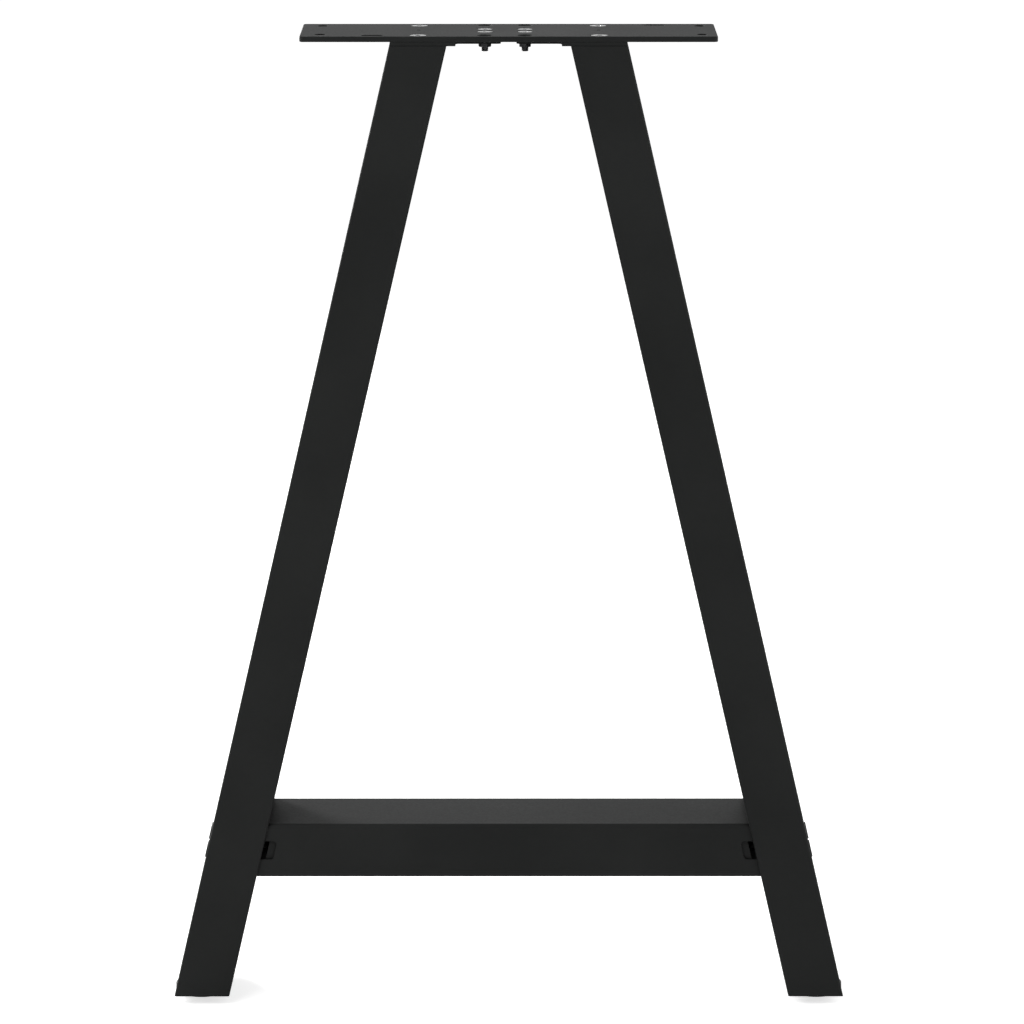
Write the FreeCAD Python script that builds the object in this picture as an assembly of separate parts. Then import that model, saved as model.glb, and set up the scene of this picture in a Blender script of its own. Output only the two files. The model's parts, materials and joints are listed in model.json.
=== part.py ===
import FreeCAD
import Part
import math
import os
from FreeCAD import Vector

# A-frame trestle table leg in black steel, millimetres.
# The origin is on the floor under the middle of the leg, Z points up and -Y is the front.

# Frame as a whole
overall_height = 726.0
base_width = 500.0
head_width = 171.2
floor_gap = 7.0

# Leg tubes, rectangular steel tube
leg_face = 40.0
leg_depth = 80.0
leg_wall = 2.0
leg_corner_radius = 1.5
leg_inner_radius = 0.2

# Top plate that carries the table top
plate_length = 300.0
plate_thickness = 4.0
plate_corner_radius = 3.0
plate_edge_radius = 0.6
end_hole_diameter = 7.5
end_hole_left_inset = 14.4
end_hole_right_inset = 11.1
end_hole_side_inset = 13.4
slot_length = 16.0
slot_width = 6.0
front_slot_inset = 52.0
rear_slot_inset = 44.0
slot_side_inset = 7.5
pilot_diameter = 3.0

# Head plates, welded on the leg tubes, each with a tongue towards the middle
head_thickness = 3.0
head_set_back = 0.5
head_overhang = 6.4
tongue_hole_margin = 7.0
tongue_end_gap = 11.2
tongue_corner_radius = 3.0
tongue_root_radius = 3.0

# Countersunk screws from the top plate into each leg
leg_screw_side_inset = 10.0
leg_screw_diameter = 6.0
leg_screw_length = 16.0
leg_screw_head = 12.0
leg_screw_key = 4.0
leg_screw_key_depth = 2.4
head_rim = 0.25
leg_nut_width = 10.0
leg_nut_height = 5.0

# Countersunk bolts from the top plate through the tongues
left_tongue_bolt_x = -17.2
right_tongue_bolt_x = 11.8
tongue_bolt_pitch = 16.0
spare_hole_side_inset = 8.0
tongue_bolt_diameter = 5.0
tongue_bolt_length = 14.0
tongue_bolt_head = 10.4
tongue_bolt_key = 3.0
tongue_bolt_key_depth = 2.0
tongue_nut_width = 8.0
tongue_nut_height = 4.0

# Crossbar, a folded cap over a folded tray
crossbar_height = 40.0
crossbar_side_gap = 1.0
crossbar_rise = 92.6
cap_wall = 2.0
cap_bend_radius = 3.0
tray_wall = 2.0
tray_bend_radius = 3.0
tray_end_gap = 3.7
window_length = 9.1
window_height = 14.0
window_corner_radius = 2.5
end_plate_thickness = 4.0
end_plate_margin = 0.5

# Bolts through the outer face of each leg into the crossbar
crossbar_bolt_drop = 2.2
crossbar_bolt_side_inset = 13.0
crossbar_bolt_diameter = 6.0
crossbar_bolt_length = 14.0
crossbar_bolt_head = 13.0
crossbar_bolt_head_height = 0.9
crossbar_bolt_head_chamfer = 0.3
crossbar_bolt_key = 4.0
crossbar_bolt_key_depth = 3.0
crossbar_nut_width = 10.0
crossbar_nut_height = 5.0

# Levelling feet, a little outside the middle of the leg tubes
foot_outset = 1.8
foot_plate_thickness = 3.0
foot_stem_diameter = 8.0
foot_stem_length = 33.0
foot_collar_width = 13.0
foot_collar_chamfer = 0.5
foot_nut_width = 13.0
foot_nut_height = 6.5
pad_diameter = 40.0
pad_height = 6.5
pad_dish = 17.0
pad_dish_floor = 4.5
pad_rim = 5.5
pad_hollow = 1.4
pad_floor = 1.0
pad_edge_radius = 1.2

# Clearances
bolt_hole_clearance = 0.4
thread_clearance = 0.04
head_recess = 0.2
sink_clearance = 0.05
tray_clearance = 0.1
cap_clearance = 0.4
weld_fit = 0.1
collar_clearance = 0.3
stem_hole_clearance = 0.6

# Length by which cutters stand out of what they cut
cut_margin = 1.0

# Heights worked out from the sizes above
leg_bottom = floor_gap
plate_bottom = overall_height - plate_thickness
leg_top = plate_bottom - head_thickness
crossbar_bottom = leg_bottom + crossbar_rise
crossbar_top = crossbar_bottom + crossbar_height
crossbar_middle = crossbar_bottom + crossbar_height / 2
crossbar_bolt_height = crossbar_middle - crossbar_bolt_drop

# Lean and width worked out from the sizes above
slope = (base_width - head_width) / 2 / (leg_top - leg_bottom)
lean = math.atan(slope)
lean_angle = math.degrees(lean)
level_half_face = leg_face / 2 / math.cos(lean)
leg_foot_x = base_width / 2 - level_half_face
leg_head_x = head_width / 2 - level_half_face
foot_x = leg_foot_x + foot_outset
leg_inside = leg_face / 2 - leg_wall
head_inner_x = leg_head_x - level_half_face - head_overhang
cap_end = leg_inside - end_plate_thickness
end_hole_x = {"left": end_hole_left_inset - plate_length / 2,
              "right": plate_length / 2 - end_hole_right_inset}
front_slot_x = front_slot_inset - plate_length / 2
rear_slot_x = plate_length / 2 - rear_slot_inset
tongue_bolt_x = {"left": left_tongue_bolt_x, "right": right_tongue_bolt_x}

# Depth worked out from the sizes above
plate_depth = leg_depth
head_depth = plate_depth - 2 * head_set_back
end_hole_pitch = plate_depth - 2 * end_hole_side_inset
slot_pitch = plate_depth - 2 * slot_side_inset
leg_screw_pitch = plate_depth - 2 * leg_screw_side_inset
spare_hole_pitch = plate_depth - 2 * spare_hole_side_inset
tongue_width = spare_hole_pitch - 2 * tongue_hole_margin
crossbar_depth = leg_depth - 2 * leg_wall - 2 * crossbar_side_gap
crossbar_bolt_pitch = crossbar_depth - 2 * crossbar_bolt_side_inset

# Sides and rows of the repeated pieces
sides = {"left": -1, "right": 1}
rows = {"front": -1, "rear": 1}
long_reach = 2 * (base_width + overall_height)


def leg_axis_x(height):
    """Distance of a leg's centre plane from the middle of the frame at a height."""
    return leg_foot_x - slope * (height - leg_bottom)


def rounded_rectangle(length, width, radius):
    """Face in the XY plane, centred on the origin, with four round corners."""
    a = length / 2
    b = width / 2
    q = radius * (1 - math.sqrt(0.5))
    corners = [
        (Vector(a - radius, -b, 0), Vector(a - q, -b + q, 0), Vector(a, -b + radius, 0)),
        (Vector(a, b - radius, 0), Vector(a - q, b - q, 0), Vector(a - radius, b, 0)),
        (Vector(-a + radius, b, 0), Vector(-a + q, b - q, 0), Vector(-a, b - radius, 0)),
        (Vector(-a, -b + radius, 0), Vector(-a + q, -b + q, 0), Vector(-a + radius, -b, 0)),
    ]
    edges = []
    for i, (start, middle, end) in enumerate(corners):
        edges.append(Part.Arc(start, middle, end).toShape())
        next_start = corners[(i + 1) % 4][0]
        if end.distanceToPoint(next_start) > 1e-6:
            edges.append(Part.LineSegment(end, next_start).toShape())
    return Part.Face(Part.Wire(edges))


def block(length, width, height, x=0.0, y=0.0, z=0.0):
    """Box centred on X and Y that stands on a height."""
    return Part.makeBox(length, width, height, Vector(x - length / 2, y - width / 2, z))


def drill(diameter, bottom, height, x=0.0, y=0.0):
    """Upright cylinder to cut a hole with, or to make a shaft."""
    return Part.makeCylinder(diameter / 2, height, Vector(x, y, bottom))


def hole_through(diameter, bottom, thickness, x, y=0.0):
    """Cutter for a round hole through a level plate."""
    return drill(diameter, bottom - cut_margin, thickness + 2 * cut_margin, x, y)


def hexagon(width, bottom, height, x=0.0, y=0.0):
    """Upright six-sided prism measured across its flats."""
    corner = width / math.sqrt(3)
    angles = [math.radians(60 * i + 30) for i in range(7)]
    points = [Vector(x + corner * math.cos(a), y + corner * math.sin(a), bottom) for a in angles]
    return Part.Face(Part.makePolygon(points)).extrude(Vector(0, 0, height))


def round_upright_edges(solid, radius, x, y):
    """Fillet the two upright edges at a place and at its mirror image in Y."""
    chosen = []
    for edge in solid.Edges:
        box = edge.BoundBox
        upright = box.ZLength > box.DiagonalLength / 2
        if upright and abs(box.Center.x - x) < 1e-6 and abs(abs(box.Center.y) - y) < 1e-6:
            chosen.append(edge)
    return solid.makeFillet(radius, chosen)


def prism_xz(points, depth):
    """Solid from an outline in the XZ plane, centred on Y = 0."""
    corners = [Vector(x, -depth / 2, z) for x, z in points]
    face = Part.Face(Part.makePolygon(corners + corners[:1]))
    return face.extrude(Vector(0, depth, 0))


def beside_leg(side, inner, outer, bottom, top, depth):
    """Slanted block along one leg, between two distances from its centre plane."""
    outline = []
    for distance, height in [(inner, bottom), (outer, bottom), (outer, top), (inner, top)]:
        outline.append((side * (leg_axis_x(height) + distance / math.cos(lean)), height))
    return prism_xz(outline, depth)


def across_legs(distance, bottom, top, depth):
    """Block from leg to leg whose slanted ends lie at a distance from the centre planes."""
    low = leg_axis_x(bottom) + distance / math.cos(lean)
    high = leg_axis_x(top) + distance / math.cos(lean)
    return prism_xz([(-low, bottom), (low, bottom), (high, top), (-high, top)], depth)


def on_leg(shape, side, height):
    """Stand a shape on a leg's outer face at a height, with its +Z out of the face."""
    face_x = leg_axis_x(height) + level_half_face
    turn = FreeCAD.Rotation(Vector(0, 1, 0), side * (90 - lean_angle))
    seat = FreeCAD.Placement(Vector(side * face_x, 0, height), turn)
    placed = shape.copy()
    placed.Placement = seat.multiply(placed.Placement)
    return placed


def countersunk_bolt(head, diameter, length, key, key_depth):
    """Flat-topped countersunk bolt, its head's top at the origin and its shank down -Z."""
    cone = (head - diameter) / 2
    tip = head_rim
    profile = [
        Vector(0, 0, 0),
        Vector(head / 2, 0, 0),
        Vector(head / 2, 0, -head_rim),
        Vector(diameter / 2, 0, -head_rim - cone),
        Vector(diameter / 2, 0, -length + tip),
        Vector(diameter / 2 - tip, 0, -length),
        Vector(0, 0, -length),
        Vector(0, 0, 0),
    ]
    solid = Part.Face(Part.makePolygon(profile)).revolve(Vector(0, 0, 0), Vector(0, 0, 1), 360)
    return solid.cut(hexagon(key, -key_depth, 2 * key_depth))


def countersink(head, diameter):
    """Cutter for a countersunk hole, its rim at the origin and its bore down -Z."""
    rim = head / 2 + head_recess + head_rim + sink_clearance
    bore = (diameter + bolt_hole_clearance) / 2
    profile = [
        Vector(0, 0, cut_margin),
        Vector(rim, 0, cut_margin),
        Vector(rim, 0, 0),
        Vector(bore, 0, -(rim - bore)),
        Vector(bore, 0, -2 * (plate_thickness + head_thickness)),
        Vector(0, 0, -2 * (plate_thickness + head_thickness)),
        Vector(0, 0, cut_margin),
    ]
    return Part.Face(Part.makePolygon(profile)).revolve(Vector(0, 0, 0), Vector(0, 0, 1), 360)


def hex_nut(width, height, diameter):
    """Hexagon nut standing on the origin, with its corners turned off at the top."""
    corner = width / math.sqrt(3)
    profile = [
        Vector(0, 0, 0),
        Vector(corner, 0, 0),
        Vector(corner, 0, height - (corner - width / 2) / 2),
        Vector(width / 2, 0, height),
        Vector(0, 0, height),
        Vector(0, 0, 0),
    ]
    turned = Part.Face(Part.makePolygon(profile)).revolve(Vector(0, 0, 0), Vector(0, 0, 1), 360)
    nut = turned.common(hexagon(width, 0, height))
    return nut.cut(drill(diameter + thread_clearance, -height, 3 * height))


def at(shape, x, y, z):
    """A copy of the shape moved to a place."""
    placed = shape.copy()
    placed.translate(Vector(x, y, z))
    return placed


# Leg tubes
def leg_section(inset):
    """Section of the leg tube, drawn at a distance inside its outer surface."""
    radius = max(leg_corner_radius - inset, leg_inner_radius)
    return rounded_rectangle(leg_face - 2 * inset, leg_depth - 2 * inset, radius)


def leg_bar(side, inset, bottom, top):
    """Leaning bar with the leg's section, cut level at two heights."""
    bar = leg_section(inset).extrude(Vector(0, 0, long_reach))
    bar.translate(Vector(0, 0, -long_reach / 2))
    turn = FreeCAD.Rotation(Vector(0, 1, 0), -side * lean_angle)
    bar.Placement = FreeCAD.Placement(Vector(side * leg_foot_x, 0, leg_bottom), turn).multiply(bar.Placement)
    return bar.common(block(long_reach, 2 * leg_depth, top - bottom, z=bottom))


def leg_tube(side):
    """Closed tube with an opening for the crossbar and holes for its bolts."""
    outer = leg_bar(side, 0, leg_bottom, leg_top)
    tube = outer.cut(leg_bar(side, leg_wall, leg_bottom - leg_wall, leg_top + leg_wall))
    opening = beside_leg(side, -leg_face, 0, crossbar_bottom - cap_clearance,
                         crossbar_top + cap_clearance, crossbar_depth + 2 * cap_clearance)
    tube = tube.cut(opening)
    for row in rows.values():
        hole = drill(crossbar_bolt_diameter + bolt_hole_clearance, -leg_face / 2, leg_face,
                     y=row * crossbar_bolt_pitch / 2)
        tube = tube.cut(on_leg(hole, side, crossbar_bolt_height))
    return tube


# Top plate
def top_plate():
    """Flat plate with round corners, holes for the table top and countersunk bolt holes."""
    plate = rounded_rectangle(plate_length, plate_depth, plate_corner_radius)
    plate = plate.extrude(Vector(0, 0, plate_thickness))
    plate.translate(Vector(0, 0, plate_bottom))
    rim = [e for e in plate.Edges if abs(e.BoundBox.ZLength) < 1e-6]
    plate = plate.makeFillet(plate_edge_radius, rim)
    cutters = []
    for name, side in sides.items():
        for row in rows.values():
            cutters.append(hole_through(end_hole_diameter, plate_bottom, plate_thickness,
                                        end_hole_x[name], row * end_hole_pitch / 2))
            leg_sink = countersink(leg_screw_head, leg_screw_diameter)
            cutters.append(at(leg_sink, side * leg_head_x, row * leg_screw_pitch / 2, overall_height))
            middle_sink = countersink(tongue_bolt_head, tongue_bolt_diameter)
            for pitch in (tongue_bolt_pitch, spare_hole_pitch):
                cutters.append(at(middle_sink, tongue_bolt_x[name], row * pitch / 2, overall_height))
        cutters.append(hole_through(pilot_diameter, plate_bottom, plate_thickness, side * leg_head_x))
    for x, row in ((front_slot_x, rows["front"]), (rear_slot_x, rows["rear"])):
        slot = rounded_rectangle(slot_length, slot_width, slot_width / 2)
        slot = slot.extrude(Vector(0, 0, plate_thickness + 2 * cut_margin))
        cutters.append(at(slot, x, row * slot_pitch / 2, plate_bottom - cut_margin))
    return plate.cut(cutters)


# Head plates
def head_plate(name, side):
    """Flat head that caps the leg tube, with a narrower tongue to the middle."""
    tongue_end = tongue_end_gap / 2
    tongue_length = head_inner_x - tongue_end + cut_margin
    tongue = block(tongue_length, tongue_width, head_thickness, tongue_end + tongue_length / 2, z=leg_top)
    head = block(plate_length, head_depth, head_thickness, head_inner_x + plate_length / 2, z=leg_top)
    plate = head.fuse(tongue).removeSplitter()
    plate = round_upright_edges(plate, tongue_corner_radius, tongue_end, tongue_width / 2)
    plate = round_upright_edges(plate, tongue_root_radius, head_inner_x, tongue_width / 2)
    plate = plate.common(across_legs(leg_face / 2, leg_top, plate_bottom, head_depth))
    if side < 0:
        plate = plate.mirror(Vector(0, 0, 0), Vector(1, 0, 0))
    holes = [hole_through(pilot_diameter, leg_top, head_thickness, side * leg_head_x)]
    for row in rows.values():
        holes.append(hole_through(leg_screw_diameter + bolt_hole_clearance, leg_top, head_thickness,
                                  side * leg_head_x, row * leg_screw_pitch / 2))
        holes.append(hole_through(tongue_bolt_diameter + bolt_hole_clearance, leg_top, head_thickness,
                                  tongue_bolt_x[name], row * tongue_bolt_pitch / 2))
    return plate.cut(holes)


# Crossbar
def crossbar_cap():
    """Sheet folded down along both sides, closed on top, with a window beside each leg."""
    outer = folded_bar(crossbar_depth, cap_bend_radius, crossbar_bottom, crossbar_top, 1)
    inner = folded_bar(crossbar_depth - 2 * cap_wall, cap_bend_radius - cap_wall,
                       crossbar_bottom - cap_wall, crossbar_top - cap_wall, 1)
    cap = outer.cut(inner)
    cap = cap.common(across_legs(cap_end, crossbar_bottom, crossbar_top, 2 * crossbar_depth))
    for side in sides.values():
        cap = cap.cut(side_window(side))
    return cap


def folded_bar(width, radius, bottom, top, round_side):
    """Straight bar along X with its two upper or two lower edges rounded."""
    bar = block(long_reach, width, top - bottom, z=bottom)
    level = top if round_side > 0 else bottom
    edges = [e for e in bar.Edges if e.BoundBox.XLength > long_reach / 2
             and abs(e.CenterOfMass.z - level) < 1e-6]
    return bar.makeFillet(radius, edges)


def side_window(side):
    """Cutter for the windows through both walls of the cap beside a leg."""
    start = -leg_face / 2
    window = beside_leg(side, start - window_length, start + window_corner_radius,
                        crossbar_middle - window_height / 2, crossbar_middle + window_height / 2,
                        2 * crossbar_depth)
    inner_edges = []
    for edge in window.Edges:
        if edge.BoundBox.YLength > crossbar_depth:
            middle = edge.CenterOfMass
            if abs(middle.x) < leg_axis_x(middle.z) + (start - window_length / 2) / math.cos(lean):
                inner_edges.append(edge)
    return window.makeFillet(window_corner_radius, inner_edges)


def crossbar_tray():
    """Sheet folded up along both sides, its flat bottom longer than its walls."""
    width = crossbar_depth - 2 * cap_wall - 2 * tray_clearance
    outer = folded_bar(width, tray_bend_radius, crossbar_bottom, crossbar_top, -1)
    inner = folded_bar(width - 2 * tray_wall, tray_bend_radius - tray_wall,
                       crossbar_bottom + tray_wall, crossbar_top + tray_wall, -1)
    top = crossbar_top - cap_bend_radius - tray_clearance
    walls = across_legs(-leg_face / 2 - tray_end_gap, crossbar_bottom, top, crossbar_depth)
    flat = across_legs(cap_end, crossbar_bottom, crossbar_bottom + tray_wall, width - 2 * tray_bend_radius)
    return outer.cut(inner).common(walls.fuse(flat)).removeSplitter()


def crossbar_end_plate(side):
    """Slanted plate on the cap's end that seats inside the leg's outer wall."""
    depth = crossbar_depth - 2 * end_plate_margin
    plate = beside_leg(side, cap_end, leg_inside, crossbar_bottom + end_plate_margin,
                       crossbar_top - end_plate_margin, depth)
    for row in rows.values():
        hole = drill(crossbar_bolt_diameter + bolt_hole_clearance, -leg_face, leg_face,
                     y=row * crossbar_bolt_pitch / 2)
        plate = plate.cut(on_leg(hole, side, crossbar_bolt_height))
    return plate


def crossbar_bolt(side, row):
    """Low flat-headed bolt with a hexagon socket, its head on the leg's outer face."""
    radius = crossbar_bolt_head / 2
    shank = crossbar_bolt_diameter / 2
    chamfer = crossbar_bolt_head_chamfer
    profile = [
        Vector(0, 0, crossbar_bolt_head_height),
        Vector(radius - chamfer, 0, crossbar_bolt_head_height),
        Vector(radius, 0, crossbar_bolt_head_height - chamfer),
        Vector(radius, 0, 0),
        Vector(shank, 0, 0),
        Vector(shank, 0, -crossbar_bolt_length + chamfer),
        Vector(shank - chamfer, 0, -crossbar_bolt_length),
        Vector(0, 0, -crossbar_bolt_length),
        Vector(0, 0, crossbar_bolt_head_height),
    ]
    bolt = Part.Face(Part.makePolygon(profile)).revolve(Vector(0, 0, 0), Vector(0, 0, 1), 360)
    socket = hexagon(crossbar_bolt_key, crossbar_bolt_head_height - crossbar_bolt_key_depth,
                     2 * crossbar_bolt_key_depth)
    bolt = at(bolt.cut(socket), 0, row * crossbar_bolt_pitch / 2, 0)
    return on_leg(bolt, side, crossbar_bolt_height)


def crossbar_nut(side, row):
    """Weld nut on the inner side of the end plate, in line with its bolt."""
    nut = hex_nut(crossbar_nut_width, crossbar_nut_height, crossbar_bolt_diameter)
    nut = nut.mirror(Vector(0, 0, 0), Vector(0, 0, 1))
    nut = at(nut, 0, row * crossbar_bolt_pitch / 2, -leg_wall - end_plate_thickness)
    return on_leg(nut, side, crossbar_bolt_height)


# Bolts and nuts at the top
def leg_screw(side, row):
    """Countersunk screw through the top plate and the head plate."""
    screw = countersunk_bolt(leg_screw_head, leg_screw_diameter, leg_screw_length,
                             leg_screw_key, leg_screw_key_depth)
    return at(screw, side * leg_head_x, row * leg_screw_pitch / 2, overall_height - head_recess)


def leg_nut(side, row):
    """Weld nut under the head plate, inside the leg tube."""
    nut = hex_nut(leg_nut_width, leg_nut_height, leg_screw_diameter)
    nut = nut.mirror(Vector(0, 0, 0), Vector(0, 0, 1))
    return at(nut, side * leg_head_x, row * leg_screw_pitch / 2, leg_top)


def tongue_bolt(name, row):
    """Countersunk bolt through the top plate and a tongue."""
    bolt = countersunk_bolt(tongue_bolt_head, tongue_bolt_diameter, tongue_bolt_length,
                            tongue_bolt_key, tongue_bolt_key_depth)
    return at(bolt, tongue_bolt_x[name], row * tongue_bolt_pitch / 2, overall_height - head_recess)


def tongue_nut(name, row):
    """Hexagon nut under a tongue."""
    nut = hex_nut(tongue_nut_width, tongue_nut_height, tongue_bolt_diameter)
    nut = nut.mirror(Vector(0, 0, 0), Vector(0, 0, 1))
    return at(nut, tongue_bolt_x[name], row * tongue_bolt_pitch / 2, leg_top)


# Levelling feet
def foot_plate(side):
    """Plate that closes the lower end of the leg tube, with the foot's hole."""
    plate = leg_bar(side, leg_wall + weld_fit, leg_bottom, leg_bottom + foot_plate_thickness)
    hole = drill(foot_stem_diameter + stem_hole_clearance, 0, leg_bottom + 2 * foot_plate_thickness,
                 side * foot_x)
    return plate.cut(hole)


def foot_nut(side):
    """Nut welded on the foot plate, inside the leg tube."""
    nut = hex_nut(foot_nut_width, foot_nut_height, foot_stem_diameter + thread_clearance)
    return at(nut, side * foot_x, 0, leg_bottom + foot_plate_thickness)


def foot_stem(side):
    """Threaded stem with a hexagon collar that is turned with a spanner."""
    x = side * foot_x
    collar_top = leg_bottom - collar_clearance
    stem_bottom = pad_hollow + pad_floor
    stem = drill(foot_stem_diameter, stem_bottom, foot_stem_length, x)
    collar = hexagon(foot_collar_width, pad_dish_floor, collar_top - pad_dish_floor, x)
    collar_round = Part.makeCone(foot_collar_width, foot_collar_width / 2 - foot_collar_chamfer,
                                 collar_top, Vector(x, 0, 0))
    tip = Part.makeCone(foot_stem_diameter, foot_stem_diameter / 2 - foot_collar_chamfer,
                        stem_bottom + foot_stem_length, Vector(x, 0, 0))
    return stem.common(tip).fuse(collar.common(collar_round)).removeSplitter()


def foot_pad(side):
    """Moulded disc, hollow below, with a dish for the collar and a pocket for the stem."""
    x = side * foot_x
    pad = drill(pad_diameter, 0, pad_height, x)
    rim = [e for e in pad.Edges if e.BoundBox.XLength > pad_diameter / 2
           and abs(e.CenterOfMass.z - pad_height) < 1e-6]
    pad = pad.makeFillet(pad_edge_radius, rim)
    hollow = drill(pad_diameter - 2 * pad_rim, -pad_hollow, 2 * pad_hollow, x)
    pocket = drill(foot_stem_diameter + thread_clearance, pad_hollow + pad_floor, pad_height, x)
    dish = drill(pad_dish, pad_dish_floor, pad_height, x)
    return pad.cut([hollow, pocket, dish])


def build():
    """Every piece of the leg by name."""
    pieces = {
        "top_plate": top_plate(),
        "crossbar_cap": crossbar_cap(),
        "crossbar_tray": crossbar_tray(),
    }
    for name, side in sides.items():
        pieces[name + "_leg_tube"] = leg_tube(side)
        pieces[name + "_head_plate"] = head_plate(name, side)
        pieces[name + "_crossbar_end_plate"] = crossbar_end_plate(side)
        pieces[name + "_foot_plate"] = foot_plate(side)
        pieces[name + "_foot_nut"] = foot_nut(side)
        pieces[name + "_foot_stem"] = foot_stem(side)
        pieces[name + "_foot_pad"] = foot_pad(side)
        for row_name, row in rows.items():
            place = name + "_" + row_name
            pieces[place + "_leg_screw"] = leg_screw(side, row)
            pieces[place + "_leg_nut"] = leg_nut(side, row)
            pieces[place + "_tongue_bolt"] = tongue_bolt(name, row)
            pieces[place + "_tongue_nut"] = tongue_nut(name, row)
            pieces[place + "_crossbar_bolt"] = crossbar_bolt(side, row)
            pieces[place + "_crossbar_nut"] = crossbar_nut(side, row)
    return pieces


os.makedirs("parts", exist_ok=True)
for node, shape in build().items():
    solid = shape.Solids[0] if len(shape.Solids) == 1 else shape
    solid.exportStep("parts/" + node + ".step")
    print(node, len(shape.Solids), "solid", round(solid.Volume), "mm3", solid.isValid())
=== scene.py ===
import json
import math
import bpy
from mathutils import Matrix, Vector


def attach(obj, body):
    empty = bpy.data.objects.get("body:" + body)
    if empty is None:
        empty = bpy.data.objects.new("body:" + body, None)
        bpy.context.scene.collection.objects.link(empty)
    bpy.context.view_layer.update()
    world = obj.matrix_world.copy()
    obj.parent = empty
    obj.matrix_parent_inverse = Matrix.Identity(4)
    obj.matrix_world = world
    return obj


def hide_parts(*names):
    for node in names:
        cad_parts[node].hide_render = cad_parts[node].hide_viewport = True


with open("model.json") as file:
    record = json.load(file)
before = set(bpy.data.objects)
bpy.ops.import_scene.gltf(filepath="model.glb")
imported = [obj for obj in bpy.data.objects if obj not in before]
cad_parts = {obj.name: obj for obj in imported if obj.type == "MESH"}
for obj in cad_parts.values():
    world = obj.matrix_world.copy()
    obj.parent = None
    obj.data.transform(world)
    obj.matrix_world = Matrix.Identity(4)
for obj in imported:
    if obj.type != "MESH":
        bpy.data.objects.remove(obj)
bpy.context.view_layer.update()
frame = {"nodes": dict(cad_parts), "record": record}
nodes = frame["nodes"]
scene = bpy.context.scene
mm = 0.001
print("leg loaded:", len(nodes), "solids")


# small helpers, used for materials and for geometry nodes alike
def put(tree, kind, inputs=None, **settings):
    node = tree.nodes.new(kind)
    for name, value in settings.items():
        setattr(node, name, value)
    for key, value in (inputs or {}).items():
        if isinstance(value, bpy.types.NodeSocket):
            tree.links.new(value, node.inputs[key])
        else:
            node.inputs[key].default_value = value
    return node


def math2(tree, operation, a, b=0.0):
    return put(tree, "ShaderNodeMath", {0: a, 1: b}, operation=operation).outputs[0]


midNoise = (0.35, 0.65)  # the stretch of a noise that fills a whole range
wideNoise = (0.3, 0.7)


def spread(tree, value, low, high, toLow, toHigh):
    node = put(tree, "ShaderNodeMapRange", {0: value, 1: low, 2: high, 3: toLow, 4: toHigh})
    return node.outputs[0]


def noise(tree, place, scale, detail=2.0, roughness=0.5):
    node = put(tree, "ShaderNodeTexNoise", {"Vector": place, "Scale": scale, "Detail": detail,
                                            "Roughness": roughness})
    return node.outputs[0]


def blend(tree, factor, first, second):
    node = put(tree, "ShaderNodeMix", {0: factor, 6: first, 7: second}, data_type="RGBA")
    return node.outputs[2]


def paintShade(tree, colour, share):
    # painted shade: the colour multiplied down by the share
    node = put(tree, "ShaderNodeMix", {0: 1.0, 6: colour, 7: share}, data_type="RGBA",
               blend_type="MULTIPLY")
    return node.outputs[2]


def near(tree, value, place, reach):
    # 1 within reach of the place, on either side of the middle
    return put(tree, "ShaderNodeMath", {0: math2(tree, "ABSOLUTE", value), 1: place, 2: reach},
               operation="COMPARE").outputs[0]


def startMaterial(name):
    material = bpy.data.materials.new(name)
    material.use_nodes = True
    material.node_tree.nodes.clear()
    return material, material.node_tree


def endMaterial(tree, shader):
    put(tree, "ShaderNodeOutputMaterial", {"Surface": shader.outputs[0]})


def softEdges(tree, radius):
    # normals that turn at an edge as they do on a small radius
    return put(tree, "ShaderNodeBevel", {"Radius": radius}, samples=4).outputs[0]


def edgeMask(tree, rounded, low, high):
    # 0 on a flat face, 1 where the rounded normal leaves the face's own
    face = put(tree, "ShaderNodeNewGeometry").outputs["Normal"]
    match = put(tree, "ShaderNodeVectorMath", {0: rounded, 1: face}, operation="DOT_PRODUCT")
    return spread(tree, match.outputs["Value"], high, low, 0.0, 1.0)


# fine matt black powder coat: tubes, plates and crossbar
powderCoat = {
    "dark": (0.0130, 0.0137, 0.0134, 1), "light": (0.0168, 0.0176, 0.0172, 1),
    "rubbed": (0.034, 0.034, 0.035, 1), "edgeRadius": 0.5 * mm,
    "rough": (0.50, 0.60), "peelRough": 0.03, "specular": 0.095,
    "cloudScale": 9, "peelScale": 620, "grainScale": 2600,
    "peelHeight": 0.012 * mm, "grainShare": 0.35,
    "speckRange": (0.62, 0.8), "speckShare": 0.25,
    "rubbedScale": 90, "rubbedEdge": (0.90, 0.998), "rubbedPatches": (0.4, 0.7),
    "rubbedShare": (0.05, 0.45), "rubbedGloss": 0.12,
    # painted shade: how far and how dark ambient occlusion darkens corners and hollows
    "cornerReach": 6 * mm, "cornerShade": 0.08, "cornerRange": (0.48, 0.80), "sideRelief": 0.26,
    # painted shade on the walls of the top plate's four end holes
    "endHole": {"x": 137.25 * mm, "y": 26.6 * mm, "above": 721 * mm, "reach": 5.6 * mm,
                "upright": 0.5, "shade": 0.12},
}


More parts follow.
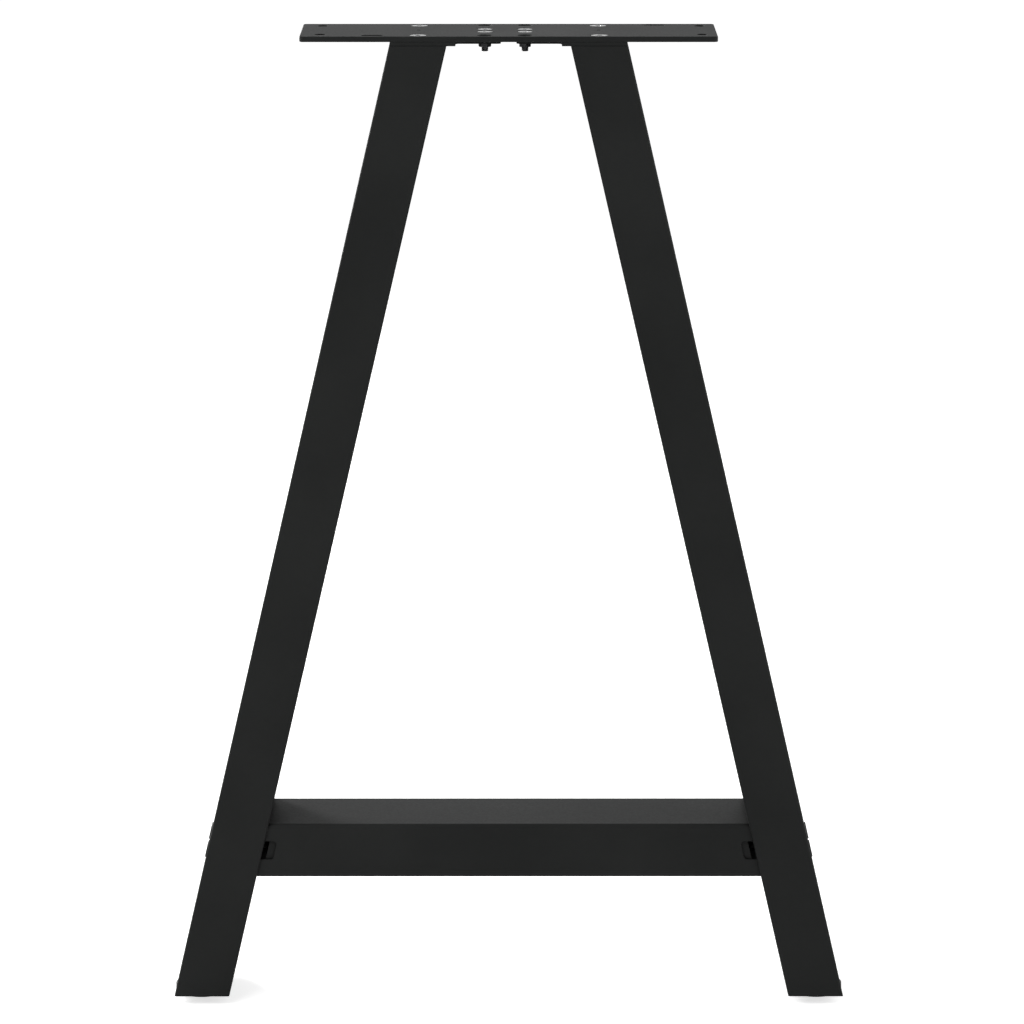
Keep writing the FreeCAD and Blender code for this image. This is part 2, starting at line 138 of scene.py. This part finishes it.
def makePowderCoat(v):
    material, tree = startMaterial("matt black powder coat")
    place = put(tree, "ShaderNodeTexCoord").outputs["Object"]
    rounded = softEdges(tree, v["edgeRadius"])
    cloud = noise(tree, place, v["cloudScale"], 3)
    peel = noise(tree, place, v["peelScale"], 1)
    grain = noise(tree, place, v["grainScale"], 2, 0.6)
    colour = blend(tree, spread(tree, cloud, *midNoise, 0, 1), v["dark"], v["light"])
    speck = spread(tree, grain, *v["speckRange"], 0.0, v["speckShare"])
    colour = blend(tree, speck, colour, v["rubbed"])
    # edges are rubbed in patches
    patches = spread(tree, noise(tree, place, v["rubbedScale"], 3),
                     *v["rubbedPatches"], *v["rubbedShare"])
    rubbed = math2(tree, "MULTIPLY", edgeMask(tree, rounded, *v["rubbedEdge"]), patches)
    colour = blend(tree, rubbed, colour, v["rubbed"])
    # painted shade: ambient occlusion darkens the colour where pieces meet and in hollows, most on
    # faces that look up
    face = put(tree, "ShaderNodeNewGeometry").outputs["Normal"]
    upward = put(tree, "ShaderNodeSeparateXYZ", {0: face}).outputs["Z"]
    room = put(tree, "ShaderNodeAmbientOcclusion", {"Distance": v["cornerReach"]}, samples=6)
    room = math2(tree, "ADD", room.outputs["AO"],
                 spread(tree, upward, 0.0, 1.0, v["sideRelief"], 0.0))
    colour = paintShade(tree, colour, spread(tree, room, *v["cornerRange"], v["cornerShade"], 1.0))
    # and painted shade darkens the walls of the top plate's four end holes, which lie in shadow
    hole = v["endHole"]
    spot = put(tree, "ShaderNodeSeparateXYZ", {0: place}).outputs
    shadedHoleWall = math2(tree, "LESS_THAN", math2(tree, "ABSOLUTE", upward), hole["upright"])
    shadedHoleWall = math2(tree, "MULTIPLY", shadedHoleWall, near(tree, spot["X"], hole["x"], hole["reach"]))
    shadedHoleWall = math2(tree, "MULTIPLY", shadedHoleWall, near(tree, spot["Y"], hole["y"], hole["reach"]))
    shadedHoleWall = math2(tree, "MULTIPLY", shadedHoleWall, math2(tree, "GREATER_THAN", spot["Z"], hole["above"]))
    colour = paintShade(tree, colour, spread(tree, shadedHoleWall, 0.0, 1.0, 1.0, hole["shade"]))
    rough = math2(tree, "ADD", spread(tree, cloud, *wideNoise, *v["rough"]),
                  spread(tree, peel, *wideNoise, -v["peelRough"], v["peelRough"]))
    rough = math2(tree, "SUBTRACT", rough, math2(tree, "MULTIPLY", rubbed, v["rubbedGloss"]))
    height = math2(tree, "ADD", peel, math2(tree, "MULTIPLY", grain, v["grainShare"]))
    bump = put(tree, "ShaderNodeBump", {"Strength": 1.0, "Distance": v["peelHeight"],
                                        "Height": height, "Normal": rounded})
    shader = put(tree, "ShaderNodeBsdfPrincipled", {
        "Base Color": colour, "Roughness": rough, "Specular IOR Level": v["specular"],
        "Normal": bump.outputs[0]})
    endMaterial(tree, shader)
    return material


# plated steel: bright zinc, dark zinc and the blackened crossbar bolts
brightZinc = {"dark": (0.56, 0.57, 0.58, 1), "light": (0.78, 0.78, 0.77, 1), "metal": 1.0,
              "rough": (0.20, 0.34), "edgeRadius": 0.15 * mm, "specular": 0.5, "darkening": 0.85}
darkZinc = {"dark": (0.045, 0.045, 0.048, 1), "light": (0.10, 0.10, 0.10, 1), "metal": 0.85,
            "rough": (0.34, 0.5), "edgeRadius": 0.2 * mm, "specular": 0.5, "darkening": 0.0}
blackPlating = {"dark": (0.012, 0.012, 0.013, 1), "light": (0.02, 0.02, 0.02, 1), "metal": 0.3,
                "rough": (0.26, 0.36), "edgeRadius": 0.2 * mm, "specular": 0.5, "darkening": 0.0}
platingGrain = {"cloudScale": 260, "grainScale": 3400, "grainRough": 0.04, "height": 0.006 * mm,
                "strength": 0.6}
darkeningColour = (0.03, 0.03, 0.032, 1)  # painted shade deep in the hex sockets and on the chamfered tips, and the threads drawn darker


def makePlating(name, v):
    material, tree = startMaterial(name)
    place = put(tree, "ShaderNodeTexCoord").outputs["Object"]
    rounded = softEdges(tree, v["edgeRadius"])
    cloud = noise(tree, place, platingGrain["cloudScale"], 3, 0.6)
    grain = noise(tree, place, platingGrain["grainScale"], 2)
    colour = blend(tree, spread(tree, cloud, *midNoise, 0, 1), v["dark"], v["light"])
    # painted shade in the sockets and on the tips, and darker threads, read from the blank
    darkening = put(tree, "ShaderNodeAttribute", attribute_name="darkening").outputs["Fac"]
    colour = blend(tree, math2(tree, "MULTIPLY", darkening, v["darkening"]), colour, darkeningColour)
    grainRough = platingGrain["grainRough"]
    rough = math2(tree, "ADD", spread(tree, cloud, *wideNoise, *v["rough"]),
                  spread(tree, grain, *wideNoise, -grainRough, grainRough))
    bump = put(tree, "ShaderNodeBump", {"Strength": platingGrain["strength"],
                                        "Distance": platingGrain["height"],
                                        "Height": grain, "Normal": rounded})
    shader = put(tree, "ShaderNodeBsdfPrincipled", {
        "Base Color": colour, "Roughness": rough, "Metallic": v["metal"],
        "Specular IOR Level": v["specular"], "Normal": bump.outputs[0]})
    endMaterial(tree, shader)
    return material


# black moulded plastic of the foot pads, with a fine spark-eroded grain
padPlastic = {"dark": (0.012, 0.012, 0.013, 1), "light": (0.019, 0.019, 0.019, 1),
              "scuffed": (0.05, 0.05, 0.05, 1), "scuffHeight": 1.5 * mm, "scuffShare": 0.5,
              "rough": (0.5, 0.66), "edgeRadius": 0.3 * mm, "specular": 0.35,
              "cloudScale": 45, "grainScale": 1500, "grainHeight": 0.02 * mm, "grainStrength": 0.8}


def makePadPlastic(v):
    material, tree = startMaterial("moulded black plastic")
    place = put(tree, "ShaderNodeTexCoord").outputs["Object"]
    rounded = softEdges(tree, v["edgeRadius"])
    cloud = noise(tree, place, v["cloudScale"], 3)
    grain = noise(tree, place, v["grainScale"], 3, 0.65)
    colour = blend(tree, spread(tree, cloud, *midNoise, 0, 1), v["dark"], v["light"])
    # scuffed where it meets the floor
    low = spread(tree, put(tree, "ShaderNodeSeparateXYZ", {0: place}).outputs["Z"],
                 0.0, v["scuffHeight"], v["scuffShare"], 0.0)
    colour = blend(tree, math2(tree, "MULTIPLY", low, cloud), colour, v["scuffed"])
    rough = spread(tree, grain, *wideNoise, *v["rough"])
    bump = put(tree, "ShaderNodeBump", {"Strength": v["grainStrength"],
                                        "Distance": v["grainHeight"],
                                        "Height": grain, "Normal": rounded})
    shader = put(tree, "ShaderNodeBsdfPrincipled", {
        "Base Color": colour, "Roughness": rough, "Specular IOR Level": v["specular"],
        "Normal": bump.outputs[0]})
    endMaterial(tree, shader)
    return material


finishes = {
    "frame": makePowderCoat(powderCoat),
    "screws": makePlating("bright zinc", brightZinc),
    "nuts": makePlating("dark zinc", darkZinc),
    "black_bolts": makePlating("black plating", blackPlating),
    "pads": makePadPlastic(padPlastic),
}
for part in frame["record"]["subparts"]:
    solid = nodes[part["node"]]
    if not solid.material_slots:
        solid.data.materials.append(None)  # an empty slot to fill
    for holder in solid.material_slots:
        holder.material = finishes[part["material_slot"]]
print("finishes on", len(nodes), "solids")


# blanks for the fasteners: rings of points from the head down, or from the floor up
def hexRadius(flats, angle):
    return flats / 2 / math.cos(angle % (math.pi / 3) - math.pi / 6)


segments = 48  # points of each ring


def makeBlank(name, rings):
    # one ring is (shape, height, threaded, darkening); a shape is a radius or a function of the
    # angle
    # the darkening paints shade into the sockets and tips and darkens the threads
    points, threaded, darkenings, faces = [], [], [], []
    for shape, height, thread, *darkening in rings:
        for i in range(segments):
            angle = 2 * math.pi * i / segments
            radius = shape(angle) if callable(shape) else shape
            points.append((radius * math.cos(angle), radius * math.sin(angle), height))
            threaded.append(thread)
            darkenings.append(darkening[0] if darkening else float(thread > 0))
    for k in range(len(rings) - 1):
        for i in range(segments):
            j = (i + 1) % segments
            faces.append((k * segments + j, k * segments + i,
                          (k + 1) * segments + i, (k + 1) * segments + j))
    # a cap of triangles closes each end
    for first, turn in ((0, 1), ((len(rings) - 1) * segments, -1)):
        centre = len(points)
        points.append((0, 0, rings[0 if turn > 0 else -1][1]))
        threaded.append(0.0)
        darkenings.append(darkenings[first])
        for i in range(segments):
            a, b = first + i, first + (i + 1) % segments
            faces.append((a, b, centre) if turn > 0 else (b, a, centre))
    mesh = bpy.data.meshes.new(name)
    mesh.from_pydata([Vector(p) * mm for p in points], [], faces)
    mesh.attributes.new("threaded", "FLOAT", "POINT").data.foreach_set("value", threaded)
    mesh.attributes.new("darkening", "FLOAT", "POINT").data.foreach_set("value", darkenings)
    mesh.shade_smooth()
    return bpy.data.objects.new(name, mesh)


# a thread deepens over its first turn and gets shallow near its tip, which is chamfered
threadShape = {"stepsPerTurn": 8, "runOut": 4, "lastDepth": 0.35, "chamfer": 1.6, "endDarkening": 0.9,
               "groove": (0.14, 0.46)}


def threadRings(radius, start, tip, pitch, cut=0.25):
    end = tip - math.copysign(cut, tip - start)
    turn = threadShape["stepsPerTurn"]
    steps = max(turn, round(abs(end - start) / pitch * turn))
    rings = []
    for k in range(steps + 1):
        height = start + (end - start) * k / steps
        fade = min(1.0, k / turn, (steps - k) / threadShape["runOut"] + threadShape["lastDepth"])
        rings.append((radius, height, fade))
    # painted shade on the chamfered tip
    rings.append((radius - threadShape["chamfer"] * cut, tip, 0, threadShape["endDarkening"]))
    return rings


# one tree cuts the thread on a blank and sets a copy on each point, along the point's axis
def threadedPieces():
    tree = bpy.data.node_groups.new("threadedPieces", "GeometryNodeTree")
    for name, kind in (("Geometry", "NodeSocketGeometry"), ("Blank", "NodeSocketObject"),
                       ("Pitch", "NodeSocketFloat"), ("Thread Depth", "NodeSocketFloat"),
                       ("Finish", "NodeSocketMaterial")):
        tree.interface.new_socket(name, in_out="INPUT", socket_type=kind)
    tree.interface.new_socket("Geometry", in_out="OUTPUT", socket_type="NodeSocketGeometry")
    given = put(tree, "NodeGroupInput").outputs
    blank = put(tree, "GeometryNodeObjectInfo", {"Object": given["Blank"]}).outputs["Geometry"]
    place = put(tree, "GeometryNodeInputPosition").outputs[0]
    spot = put(tree, "ShaderNodeSeparateXYZ", {0: place})
    angle = math2(tree, "ARCTAN2", spot.outputs["Y"], spot.outputs["X"])
    turns = math2(tree, "SUBTRACT", math2(tree, "DIVIDE", spot.outputs["Z"], given["Pitch"]),
                  math2(tree, "DIVIDE", angle, 2 * math.pi))
    groove = spread(tree, math2(tree, "PINGPONG", turns, 0.5), *threadShape["groove"], 0.0, 1.0)
    threaded = put(tree, "GeometryNodeInputNamedAttribute", {"Name": "threaded"}, data_type="FLOAT")
    depth = math2(tree, "MULTIPLY", math2(tree, "MULTIPLY", groove, given["Thread Depth"]),
                  math2(tree, "MULTIPLY", threaded.outputs[0], -1.0))
    outward = put(tree, "ShaderNodeCombineXYZ", {0: spot.outputs["X"], 1: spot.outputs["Y"]})
    outward = put(tree, "ShaderNodeVectorMath", {0: outward.outputs[0]}, operation="NORMALIZE")
    shift = put(tree, "ShaderNodeVectorMath", {0: outward.outputs[0], "Scale": depth},
                operation="SCALE")
    cut = put(tree, "GeometryNodeSetPosition", {"Geometry": blank, "Offset": shift.outputs[0]})
    axis = put(tree, "GeometryNodeInputNamedAttribute", {"Name": "axis"}, data_type="FLOAT_VECTOR")
    stand = put(tree, "FunctionNodeAlignRotationToVector", {"Vector": axis.outputs[0]}, axis="Z")
    turned = put(tree, "GeometryNodeInputNamedAttribute", {"Name": "turned"}, data_type="FLOAT")
    own = put(tree, "FunctionNodeAxisAngleToRotation",
              {"Axis": (0, 0, 1), "Angle": turned.outputs[0]})
    way = put(tree, "FunctionNodeRotateRotation", {0: stand.outputs[0], 1: own.outputs[0]},
              rotation_space="LOCAL")
    copies = put(tree, "GeometryNodeInstanceOnPoints", {
        "Points": given["Geometry"], "Instance": cut.outputs[0], "Rotation": way.outputs[0]})
    real = put(tree, "GeometryNodeRealizeInstances", {0: copies.outputs[0]})
    done = put(tree, "GeometryNodeSetMaterial", {"Geometry": real.outputs[0],
                                                 "Material": given["Finish"]})
    put(tree, "NodeGroupOutput", {0: done.outputs[0]})
    return tree


pieceTree = threadedPieces()
sharpAngle = math.radians(32)  # edges over this angle stay sharp


def setPieces(name, blank, spots, body, slotName, replaced, pitch=1.0, depth=0.0):
    # a spot is (place in mm, axis, turned in degrees)
    mesh = bpy.data.meshes.new(name)
    mesh.from_pydata([Vector(place) * mm for place, axis, turned in spots], [], [])
    ways = [c for place, axis, turned in spots for c in axis]
    mesh.attributes.new("axis", "FLOAT_VECTOR", "POINT").data.foreach_set("vector", ways)
    angles = [math.radians(turned) for place, axis, turned in spots]
    mesh.attributes.new("turned", "FLOAT", "POINT").data.foreach_set("value", angles)
    piece = bpy.data.objects.new(name, mesh)
    scene.collection.objects.link(piece)
    scene.collection.objects.link(blank)
    modifier = piece.modifiers.new("pieces", "NODES")
    modifier.node_group = pieceTree
    values = {"Blank": blank, "Pitch": pitch * mm, "Thread Depth": depth * mm,
              "Finish": finishes[slotName]}
    for item in pieceTree.interface.items_tree:
        if item.in_out == "INPUT" and item.name in values:
            modifier[item.identifier] = values[item.name]
    bpy.context.view_layer.update()
    view = piece.evaluated_get(bpy.context.evaluated_depsgraph_get())
    result = bpy.data.meshes.new_from_object(view)
    piece.modifiers.clear()
    piece.data = result
    bpy.data.objects.remove(blank)
    result.name = name
    result.shade_smooth()
    result.set_sharp_from_angle(angle=sharpAngle)
    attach(piece, body)
    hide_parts(*replaced)
    print(name, "made:", len(result.polygons), "faces")


# places of the frame, in millimetres
leaning = {"baseWidth": 500, "headWidth": 171.2, "bottom": 7, "top": 719, "face": 40}
slope = (leaning["baseWidth"] - leaning["headWidth"]) / 2 / (leaning["top"] - leaning["bottom"])
lean = math.atan(slope)
halfFace = leaning["face"] / 2 / math.cos(lean)
footX = leaning["baseWidth"] / 2 - halfFace
headX = leaning["headWidth"] / 2 - halfFace
sides = {"left": -1, "right": 1}
rows = {"front": -1, "rear": 1}
headTop = 725.8  # the countersunk heads sit a little below the plate


# countersunk screws and bolts in the top plate
legScrew = {"head": 12, "shank": 6, "length": 16, "key": 4, "keyDepth": 2.4, "rim": 0.25,
            "pitch": 1.0, "threadDepth": 0.6, "fromMiddle": 30}
tongueBolt = {"head": 10.4, "shank": 5, "length": 14, "key": 3, "keyDepth": 2.0, "rim": 0.25,
              "pitch": 0.8, "threadDepth": 0.34, "fromMiddle": 8,
              "x": {"left": -17.2, "right": 11.8}}


def countersunkRings(v):
    head, shank, key = v["head"] / 2, v["shank"] / 2, v["key"]
    neck = -v["rim"] - (head - shank)
    # up from the socket's floor to its bevel, over the flat head and down the cone to the shank
    rings = [
        # the fourth number of a socket ring is its painted shade, darkest at the socket's floor
        (key * 0.18, -v["keyDepth"], 0, 1),
        (lambda a: hexRadius(key * 0.97, a), -v["keyDepth"] * 0.88, 0, 1),
        (lambda a: hexRadius(key, a), -v["keyDepth"] * 0.84, 0, 0.9),
        (lambda a: hexRadius(key, a), -0.16, 0, 0.7),
        (lambda a: hexRadius(key * 1.07, a), -0.02, 0, 0.5),
        (lambda a: hexRadius(key * 1.10, a), 0, 0, 0.4),
        (head * 0.80, 0, 0, 0.1), (head - 0.14, 0, 0), (head - 0.04, -0.04, 0), (head, -0.14, 0),
        (head, -v["rim"], 0), (shank + 0.12, neck + 0.12, 0), (shank, neck - 0.1, 0),
    ]
    return rings + threadRings(shank, neck - 0.2, -v["length"], v["pitch"])


legScrewSpots, tongueBoltSpots, nutSpots = [], [], []
legScrewNodes, tongueBoltNodes, tongueNutNodes = [], [], []
turnedBy = {"left_front": 8, "left_rear": 41, "right_front": 23, "right_rear": -12}
for side, way in sides.items():
    for row, depthWay in rows.items():
        place = side + "_" + row
        screwPlace = (way * headX, depthWay * legScrew["fromMiddle"], headTop)
        legScrewSpots.append((screwPlace, (0, 0, 1), turnedBy[place]))
        boltPlace = (tongueBolt["x"][side], depthWay * tongueBolt["fromMiddle"])
        tongueBoltSpots.append((boltPlace + (headTop,), (0, 0, 1), turnedBy[place] * 2))
        nutSpots.append((boltPlace + (leaning["top"],), (0, 0, -1), turnedBy[place]))
        legScrewNodes.append(place + "_leg_screw")
        tongueBoltNodes.append(place + "_tongue_bolt")
        tongueNutNodes.append(place + "_tongue_nut")

setPieces("leg_screws", makeBlank("legScrewBlank", countersunkRings(legScrew)), legScrewSpots,
          "frame", "screws", legScrewNodes, legScrew["pitch"], legScrew["threadDepth"])
setPieces("tongue_bolts", makeBlank("tongueBoltBlank", countersunkRings(tongueBolt)),
          tongueBoltSpots, "frame", "screws", tongueBoltNodes, tongueBolt["pitch"],
          tongueBolt["threadDepth"])


# hexagon nuts under the tongues, chamfered on both faces
tongueNut = {"flats": 8, "height": 4, "bore": 5.04, "boreBevel": 0.35, "faceShare": 0.96}


def nutRings(v):
    flats, height, bore = v["flats"], v["height"], v["bore"] / 2
    corner = flats / math.sqrt(3)

    def side(level):
        # the turned chamfer takes the corners off towards both faces
        reach = flats / 2 + 2 * min(level + 0.02, height - level)
        return lambda a: min(hexRadius(flats, a), reach)

    drop = (corner - flats / 2) / 2
    levels = [0.0, drop * 0.3, drop * 0.6, drop, drop * 1.3]
    levels = levels + [height - level for level in reversed(levels)]
    bevel, face = v["boreBevel"], flats / 2 * v["faceShare"]
    rings = [(bore + bevel, 0, 0), (face, 0, 0)]
    rings += [(side(level), level, 0) for level in levels]
    rings += [(face, height, 0), (bore + bevel, height, 0), (bore, height - bevel, 0)]
    return rings + [(bore, bevel, 0)]


def makeNutBlank(v):
    rings = nutRings(v)
    blank = makeBlank("tongueNutBlank", rings)
    # the bore is open: the two end caps go, and its last ring joins the first
    mesh = blank.data
    faces = [tuple(p.vertices) for p in mesh.polygons if len(p.vertices) == 4]
    last = (len(rings) - 1) * segments
    for i in range(segments):
        j = (i + 1) % segments
        faces.append((last + j, last + i, i, j))
    points = [corner.co.copy() for corner in mesh.vertices][:len(rings) * segments]
    mesh.clear_geometry()
    mesh.from_pydata(points, [], [tuple(reversed(f)) for f in faces])
    mesh.attributes.new("threaded", "FLOAT", "POINT")
    mesh.shade_smooth()
    return blank


setPieces("tongue_nuts", makeNutBlank(tongueNut), nutSpots, "frame", "nuts", tongueNutNodes)


# low-headed bolts through each leg's outer face into the crossbar
crossbarBolt = {"head": 13.0, "headHeight": 0.9, "chamfer": 0.3, "shank": 6, "length": 14,
                "key": 4, "keyDepth": 3.0, "pitch": 1.0, "threadDepth": 0.6,
                "fromMiddle": 24, "height": 117.4}


def lowHeadRings(v):
    head, top, shank, key = v["head"] / 2, v["headHeight"], v["shank"] / 2, v["key"]
    floor = top - v["keyDepth"]
    # up from the socket's floor to its bevel, over the flat head and its chamfer to the shank
    rings = [
        (key * 0.18, floor, 0), (lambda a: hexRadius(key * 0.97, a), floor + 0.25, 0),
        (lambda a: hexRadius(key, a), floor + 0.3, 0), (lambda a: hexRadius(key, a), top - 0.18, 0),
        (lambda a: hexRadius(key * 1.08, a), top - 0.02, 0),
        (lambda a: hexRadius(key * 1.11, a), top, 0),
        (head * 0.62, top, 0), (head - v["chamfer"] - 0.06, top, 0),
        (head - v["chamfer"] + 0.03, top - 0.04, 0), (head - 0.04, top - v["chamfer"] + 0.02, 0),
        (head, top - v["chamfer"] - 0.08, 0), (head, 0.06, 0), (head - 0.06, 0, 0),
        (shank + 0.15, 0, 0), (shank, -0.15, 0),
    ]
    return rings + threadRings(shank, -0.3, -v["length"], v["pitch"])


crossbarBoltSpots, crossbarBoltNodes = [], []
boltX = footX - slope * (crossbarBolt["height"] - leaning["bottom"]) + halfFace
for side, way in sides.items():
    for row, depthWay in rows.items():
        place = side + "_" + row
        boltPlace = (way * boltX, depthWay * crossbarBolt["fromMiddle"], crossbarBolt["height"])
        outAxis = (way * math.cos(lean), 0, math.sin(lean))
        crossbarBoltSpots.append((boltPlace, outAxis, turnedBy[place]))
        crossbarBoltNodes.append(place + "_crossbar_bolt")
setPieces("crossbar_bolts", makeBlank("crossbarBoltBlank", lowHeadRings(crossbarBolt)),
          crossbarBoltSpots, "frame", "black_bolts", crossbarBoltNodes, crossbarBolt["pitch"],
          crossbarBolt["threadDepth"])


# levelling feet: a threaded stem with a hexagon collar, one piece on each foot
footStem = {"shank": 8, "bottom": 2.4, "top": 35.4, "collar": 13,
            "collarLow": 4.5, "collarHigh": 6.7, "collarRings": 8, "faceShare": 0.95,
            "pitch": 1.25, "threadDepth": 0.75, "endChamfer": 0.4, "outset": 1.8, "turned": 14}


def stemRings(v):
    shank, flats, low, high = v["shank"] / 2, v["collar"], v["collarLow"], v["collarHigh"]
    corner = flats / math.sqrt(3)

    def side(level):
        reach = flats / 2 + 0.05 + 2 * min(level - low + 0.05, high - level)
        return lambda a: min(hexRadius(flats, a), reach, corner - 0.02)

    count, face = v["collarRings"], flats / 2 * v["faceShare"]
    levels = [low + (high - low) * k / count for k in range(count + 1)]
    rings = [(shank - 0.2, v["bottom"], 0), (shank, v["bottom"] + 0.2, 0), (shank, low, 0),
             (face, low, 0)]
    rings += [(side(level), level, 0) for level in levels]
    rings += [(face, high, 0), (shank + 0.25, high, 0), (shank - 0.1, high + 0.15, 0)]
    return rings + threadRings(shank, high + 0.35, v["top"], v["pitch"], v["endChamfer"])


def upwardBlank(name, rings):
    blank = makeBlank(name, rings)
    blank.data.flip_normals()  # these rings run from the floor up
    return blank


for side, way in sides.items():
    footPlace = (way * (footX + footStem["outset"]), 0, 0)
    setPieces(side + "_threaded_stem", upwardBlank(side + "StemBlank", stemRings(footStem)),
              [(footPlace, (0, 0, 1), footStem["turned"] * way)], side + "_foot", "screws",
              [side + "_foot_stem"], footStem["pitch"], footStem["threadDepth"])


# white floor, seen as plain white where nothing shades it, and open from below
floorLook = {"colour": (0.8, 0.8, 0.8, 1), "glow": 0.66, "half": 40.0}


def makeFloor(v):
    half = v["half"]
    corners = [(-half, -half, 0), (half, -half, 0), (half, half, 0), (-half, half, 0)]
    mesh = bpy.data.meshes.new("floor")
    mesh.from_pydata(corners, [], [(0, 1, 2, 3)])
    floor = bpy.data.objects.new("floor", mesh)
    scene.collection.objects.link(floor)
    material, tree = startMaterial("white studio floor")
    rays = put(tree, "ShaderNodeLightPath").outputs
    plain = put(tree, "ShaderNodeBsdfDiffuse", {"Color": v["colour"]})
    seen = math2(tree, "MULTIPLY", rays["Is Camera Ray"], v["glow"])
    glow = put(tree, "ShaderNodeEmission", {"Color": (1, 1, 1, 1), "Strength": seen})
    lit = put(tree, "ShaderNodeAddShader", {0: plain.outputs[0], 1: glow.outputs[0]})
    clear = put(tree, "ShaderNodeBsdfTransparent")
    below = put(tree, "ShaderNodeNewGeometry").outputs["Backfacing"]
    endMaterial(tree, put(tree, "ShaderNodeMixShader",
                          {0: below, 1: lit.outputs[0], 2: clear.outputs[0]}))
    mesh.materials.append(material)


makeFloor(floorLook)


# plain studio: white behind, darker in front, so black faces stay black
studio = {"seen": 1.0, "fill": 0.47, "mirrorBack": 0.76, "mirrorFront": 0.23,
          "mirrorTurn": (-0.5, 0.6)}


def makeStudio(v):
    world = bpy.data.worlds.new("studio")
    scene.world = world
    world.use_nodes = True
    tree = world.node_tree
    tree.nodes.clear()
    rays = put(tree, "ShaderNodeLightPath").outputs
    place = put(tree, "ShaderNodeTexCoord").outputs["Generated"]
    rearward = put(tree, "ShaderNodeSeparateXYZ", {0: place}).outputs["Y"]
    mirror = spread(tree, rearward, *v["mirrorTurn"], v["mirrorFront"], v["mirrorBack"])
    direct = math2(tree, "MAXIMUM", rays["Is Camera Ray"], rays["Is Transmission Ray"])
    around = put(tree, "ShaderNodeMix", {0: rays["Is Glossy Ray"], 2: v["fill"], 3: mirror})
    strength = put(tree, "ShaderNodeMix", {0: direct, 2: around.outputs[0], 3: v["seen"]})
    glow = put(tree, "ShaderNodeBackground", {"Color": (1, 1, 1, 1),
                                              "Strength": strength.outputs[0]})
    put(tree, "ShaderNodeOutputWorld", {"Surface": glow.outputs[0]})


# soft lights round the leg: the rear one draws the left leg's shade over the crossbar,
# and the two side ones stand level with the sides, so the front faces don't see them
softboxes = {
    "keySoftbox": {"place": (-1.3, -1.9, 2.7), "size": (1.6, 1.6), "power": 38},
    "fillSoftbox": {"place": (1.9, -1.5, 1.6), "size": (1.6, 1.6), "power": 14},
    "rearSoftbox": {"place": (-1.6, 2.1, 1.2), "size": (0.7, 0.9), "power": 62},
    "leftSoftbox": {"place": (-2.3, 0.35, 1.0), "size": (0.9, 1.8), "power": 20},
    "rightSoftbox": {"place": (2.3, 0.35, 1.0), "size": (0.9, 1.8), "power": 20},
}
legMiddle = Vector((0, 0, 0.36))


def addSoftbox(name, v):
    light = bpy.data.lights.new(name, "AREA")
    light.shape = "RECTANGLE"
    light.size, light.size_y = v["size"]
    light.energy = v["power"]
    box = bpy.data.objects.new(name, light)
    scene.collection.objects.link(box)
    box.location = v["place"]
    box.rotation_euler = (legMiddle - Vector(v["place"])).to_track_quat("-Z", "Y").to_euler()


makeStudio(studio)
for name, v in softboxes.items():
    addSoftbox(name, v)

# camera at the photograph's angle, picture taken as 1024 by 1024
cameraPlace = {"x": 0.0, "y": -3.473, "z": 1.1315, "yaw": 0.04, "pitch": 12.383,
               "focalPixels": 4808, "picturePixels": 1024, "sensor": 36, "farEnd": 200}
lens = bpy.data.cameras.new("camera")
lens.sensor_width = cameraPlace["sensor"]
lens.lens = cameraPlace["focalPixels"] / cameraPlace["picturePixels"] * cameraPlace["sensor"]
lens.clip_end = cameraPlace["farEnd"]
camera = bpy.data.objects.new("camera", lens)
scene.collection.objects.link(camera)
camera.location = (cameraPlace["x"], cameraPlace["y"], cameraPlace["z"])
camera.rotation_euler = (math.radians(90 - cameraPlace["pitch"]), 0,
                         -math.radians(cameraPlace["yaw"]))
scene.camera = camera
scene.view_settings.view_transform = "Standard"
print("studio and camera set")
